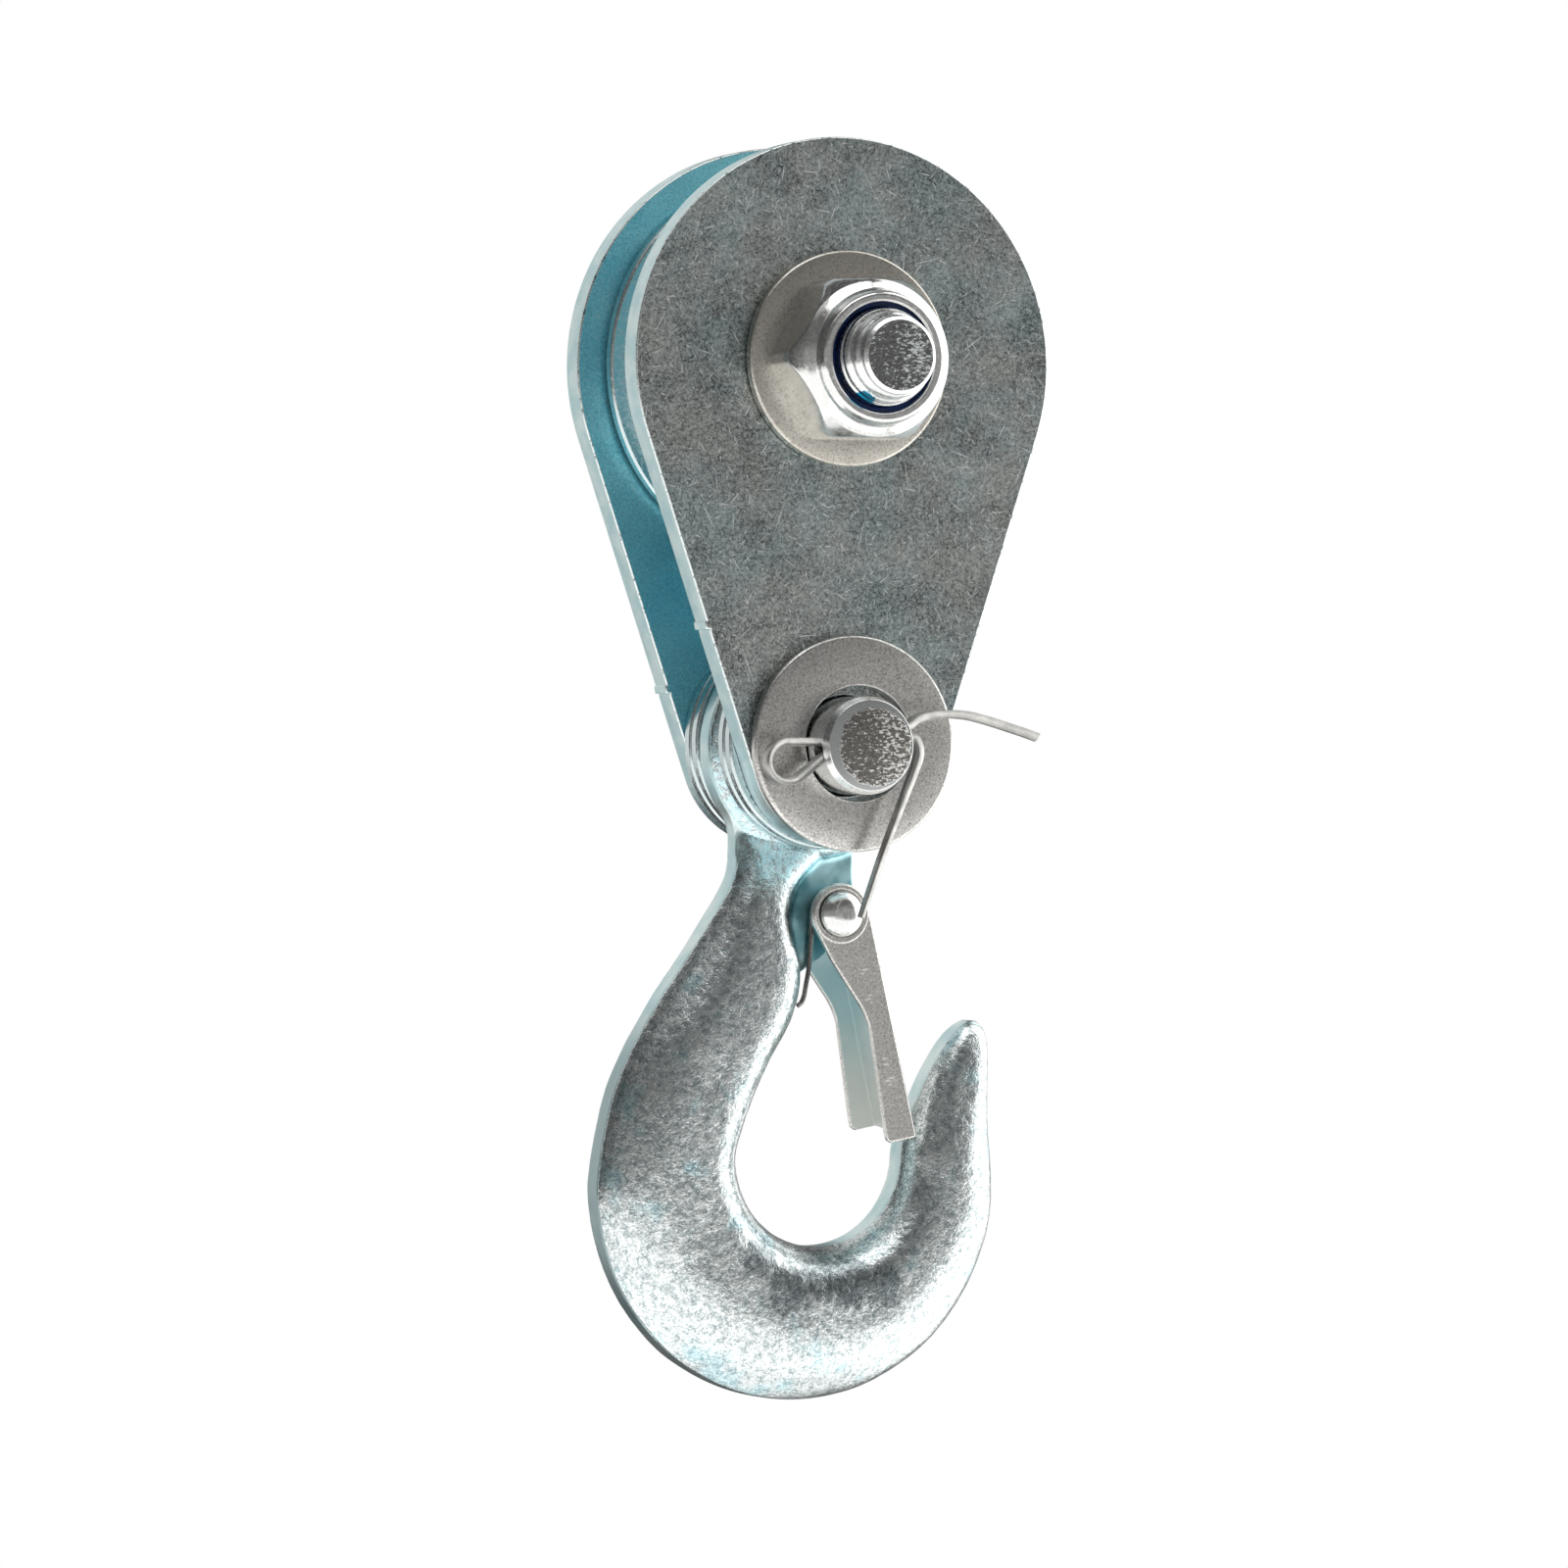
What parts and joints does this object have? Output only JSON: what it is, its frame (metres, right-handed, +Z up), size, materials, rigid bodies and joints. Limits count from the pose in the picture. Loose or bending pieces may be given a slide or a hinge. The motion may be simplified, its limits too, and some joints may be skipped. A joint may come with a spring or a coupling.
{
  "type": "single-sheave hook block",
  "caption": "Rope block with a grooved sheave between pear-shaped cheek plates and an eye hook with a sprung safety latch on a cottered pin.",
  "frame": {"origin": "centre of the sheave axle, halfway between the cheek plates", "axes": "+Z up towards the rope, with the hook hanging below; +Y along the axle towards the bolt head, so the nut and the cotter pin face -Y; +X towards the hook's opening"},
  "size_m": [0.0944, 0.0825, 0.2591],
  "materials": {
    "dark_zinc": "dull zinc plate with fine speckle and light scratches",
    "bright_zinc": "bright zinc plate, turned and cut faces",
    "washer_zinc": "satin zinc plate with a fine sandy grain and bright rims",
    "sheave_zinc": "bright zinc plate, turned",
    "forged_zinc": "zinc plate over a drop-forged skin, mottled",
    "latch_zinc": "satin zinc plate on pressed sheet",
    "plain_steel": "dull drawn steel wire",
    "bronze": "bearing bronze, oiled",
    "nylon": "dark blue nylon"
  },
  "bodies": {
    "frame": {"cheek_front": "dark_zinc", "cheek_rear": "dark_zinc", "axle_bolt": "bright_zinc", "axle_nut": "bright_zinc", "nut_nylon_insert": "nylon", "axle_washer_front": "washer_zinc", "axle_washer_rear": "washer_zinc", "axle_sleeve": "washer_zinc"},
    "thrust_washers": {"thrust_washer_front": "bronze", "thrust_washer_rear": "bronze"},
    "eye_washers": {"eye_washer_front_outer": "washer_zinc", "eye_washer_front_inner": "washer_zinc", "eye_washer_rear_inner": "washer_zinc", "eye_washer_rear_outer": "washer_zinc"},
    "sheave": {"sheave": "sheave_zinc", "sheave_bush": "bronze"},
    "pin": {"hook_pin": "bright_zinc", "cotter_pin": "plain_steel"},
    "loose_washer": {"pin_washer": "washer_zinc"},
    "hook": {"hook": "forged_zinc", "latch_rivet": "bright_zinc", "latch_spring": "plain_steel"},
    "latch": {"latch": "latch_zinc"}
  },
  "joints": [
    {"name": "sheave_spin", "type": "hinge", "parent": "frame", "child": "sheave", "pos_m": [0, 0, 0], "axis": [0, 1, 0], "continuous": true},
    {"name": "hook_swing", "type": "hinge", "parent": "frame", "child": "hook", "pos_m": [0, 0, -0.0784], "axis": [0, 1, 0], "range_deg": [-100, 100]},
    {"name": "latch_open", "type": "hinge", "parent": "hook", "child": "latch", "pos_m": [0.0035, 0, -0.113], "axis": [0, 1, 0], "range_deg": [0, 30], "stiffness_Nm_per_rad": 0.08, "springref_deg": -34.38, "deforming": ["latch_spring"]},
    {"name": "pin_turn", "type": "hinge", "parent": "frame", "child": "pin", "pos_m": [0, 0, -0.0784], "axis": [0, 1, 0], "continuous": true},
    {"name": "pin_washer_turn", "type": "hinge", "parent": "frame", "child": "loose_washer", "pos_m": [0, 0, -0.0784], "axis": [0, 1, 0], "continuous": true},
    {"name": "eye_washers_turn", "type": "hinge", "parent": "frame", "child": "eye_washers", "pos_m": [0, 0, -0.0784], "axis": [0, 1, 0], "continuous": true},
    {"name": "thrust_washers_turn", "type": "hinge", "parent": "frame", "child": "thrust_washers", "pos_m": [0, 0, 0], "axis": [0, 1, 0], "continuous": true}
  ]
}
